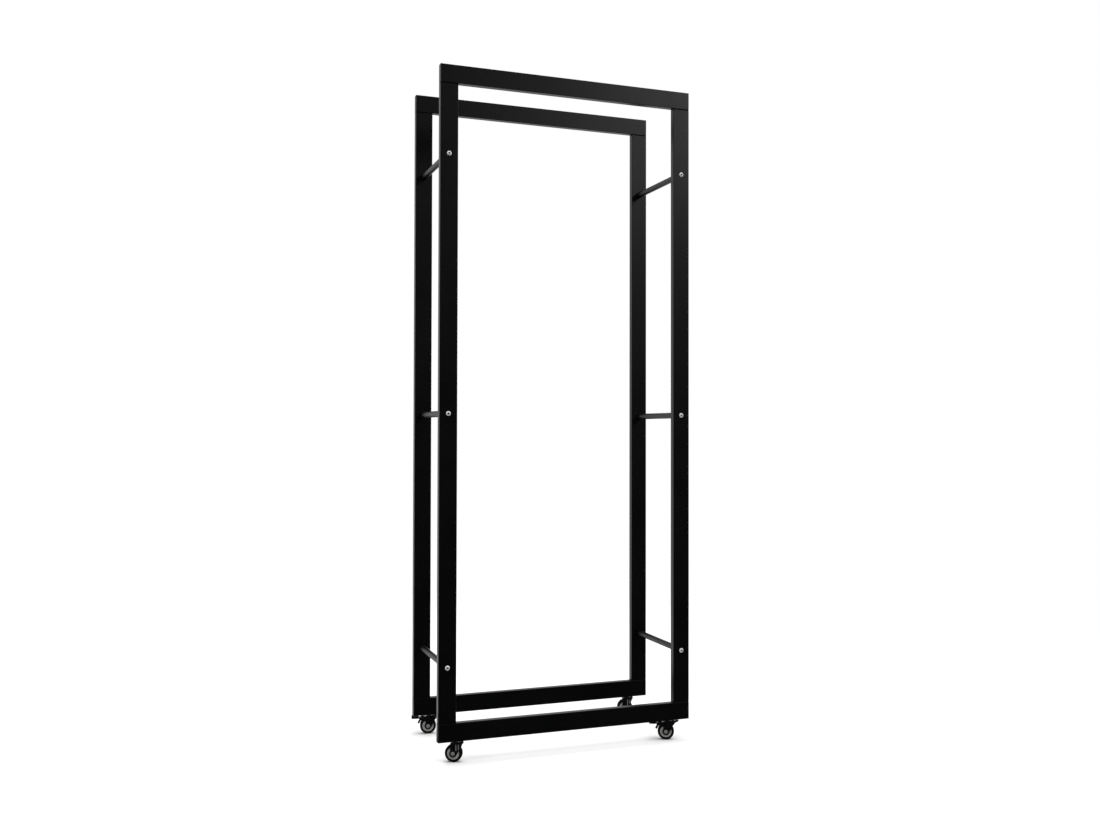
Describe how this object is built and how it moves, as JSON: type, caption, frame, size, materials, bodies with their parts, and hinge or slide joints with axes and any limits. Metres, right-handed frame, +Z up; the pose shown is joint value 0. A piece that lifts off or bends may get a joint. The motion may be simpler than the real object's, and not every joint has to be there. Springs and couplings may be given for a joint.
{
  "type": "firewood rack",
  "caption": "Tall open firewood rack of black flat-tube frames joined by round side rods, rolling on small swivel casters, some of them with a foot brake.",
  "frame": {"origin": "on the floor under the middle of the rack's width and depth", "axes": "+X to the right as seen from the front, -Y the front, +Z up"},
  "size_m": [0.6024, 0.2687, 1.511],
  "materials": {
    "frame_black": "satin black powder coat",
    "cap_black": "moulded black plastic",
    "zinc_steel": "bright zinc plate",
    "caster_black": "black dip coat on pressed sheet",
    "hub_grey": "moulded grey plastic",
    "tyre_black": "moulded soft rubber",
    "spring_steel": "plain spring steel"
  },
  "bodies": {
    "rack": {"back_bottom_rail": "frame_black", "back_left_caster_stem": "zinc_steel", "back_left_post": "frame_black", "back_left_swivel_race": "caster_black", "back_right_caster_stem": "zinc_steel", "back_right_post": "frame_black", "back_right_swivel_race": "caster_black", "back_rod_screws": "zinc_steel", "back_top_rail": "frame_black", "bottom_rail_end_caps": "cap_black", "caster_stem_nuts": "zinc_steel", "front_bottom_rail": "frame_black", "front_left_caster_stem": "zinc_steel", "front_left_post": "frame_black", "front_left_swivel_race": "caster_black", "front_right_caster_stem": "zinc_steel", "front_right_post": "frame_black", "front_right_swivel_race": "caster_black", "front_rod_screws": "zinc_steel", "front_top_rail": "frame_black", "lower_left_rod": "frame_black", "lower_right_rod": "frame_black", "middle_left_rod": "frame_black", "middle_right_rod": "frame_black", "rod_thread_inserts": "zinc_steel", "top_rail_end_caps": "cap_black", "upper_left_rod": "frame_black", "upper_right_rod": "frame_black"},
    "front_left_swivel": {"front_left_axle_bolt": "zinc_steel", "front_left_axle_nut": "zinc_steel", "front_left_caster_fork": "caster_black", "front_left_swivel_balls": "zinc_steel"},
    "front_left_wheel": {"front_left_wheel_hub": "hub_grey", "front_left_wheel_tyre": "tyre_black"},
    "front_right_swivel": {"front_right_axle_bolt": "zinc_steel", "front_right_axle_nut": "zinc_steel", "front_right_brake_pin": "zinc_steel", "front_right_brake_spring": "spring_steel", "front_right_caster_fork": "caster_black", "front_right_swivel_balls": "zinc_steel"},
    "front_right_wheel": {"front_right_wheel_hub": "hub_grey", "front_right_wheel_tyre": "tyre_black"},
    "front_right_pedal": {"front_right_brake_pedal": "caster_black"},
    "back_left_swivel": {"back_left_axle_bolt": "zinc_steel", "back_left_axle_nut": "zinc_steel", "back_left_brake_pin": "zinc_steel", "back_left_brake_spring": "spring_steel", "back_left_caster_fork": "caster_black", "back_left_swivel_balls": "zinc_steel"},
    "back_left_wheel": {"back_left_wheel_hub": "hub_grey", "back_left_wheel_tyre": "tyre_black"},
    "back_left_pedal": {"back_left_brake_pedal": "caster_black"},
    "back_right_swivel": {"back_right_axle_bolt": "zinc_steel", "back_right_axle_nut": "zinc_steel", "back_right_caster_fork": "caster_black", "back_right_swivel_balls": "zinc_steel"},
    "back_right_wheel": {"back_right_wheel_hub": "hub_grey", "back_right_wheel_tyre": "tyre_black"}
  },
  "joints": [
    {"name": "front_left_swivel_turn", "type": "hinge", "parent": "rack", "child": "front_left_swivel", "pos_m": [-0.254, -0.1175, 0.045], "axis": [0, 0, 1], "continuous": true},
    {"name": "front_left_wheel_spin", "type": "hinge", "parent": "front_left_swivel", "child": "front_left_wheel", "pos_m": [-0.26195, -0.11327, 0.019], "axis": [-0.4695, -0.8829, 0], "continuous": true},
    {"name": "front_right_swivel_turn", "type": "hinge", "parent": "rack", "child": "front_right_swivel", "pos_m": [0.254, -0.1175, 0.045], "axis": [0, 0, 1], "continuous": true},
    {"name": "front_right_wheel_spin", "type": "hinge", "parent": "front_right_swivel", "child": "front_right_wheel", "pos_m": [0.24591, -0.11355, 0.019], "axis": [-0.4384, -0.8988, 0], "continuous": true},
    {"name": "front_right_brake_press", "type": "hinge", "parent": "front_right_swivel", "child": "front_right_pedal", "pos_m": [0.23378, -0.10764, 0.0395], "axis": [-0.4384, -0.8988, 0], "range_deg": [0, 6]},
    {"name": "back_left_swivel_turn", "type": "hinge", "parent": "rack", "child": "back_left_swivel", "pos_m": [-0.254, 0.1175, 0.045], "axis": [0, 0, 1], "continuous": true},
    {"name": "back_left_wheel_spin", "type": "hinge", "parent": "back_left_swivel", "child": "back_left_wheel", "pos_m": [-0.26277, 0.11952, 0.019], "axis": [-0.225, -0.9744, 0], "continuous": true},
    {"name": "back_left_brake_press", "type": "hinge", "parent": "back_left_swivel", "child": "back_left_pedal", "pos_m": [-0.27592, 0.12256, 0.0395], "axis": [-0.225, -0.9744, 0], "range_deg": [0, 6]},
    {"name": "back_right_swivel_turn", "type": "hinge", "parent": "rack", "child": "back_right_swivel", "pos_m": [0.254, 0.1175, 0.045], "axis": [0, 0, 1], "continuous": true},
    {"name": "back_right_wheel_spin", "type": "hinge", "parent": "back_right_swivel", "child": "back_right_wheel", "pos_m": [0.24554, 0.12058, 0.019], "axis": [-0.342, -0.9397, 0], "continuous": true}
  ]
}
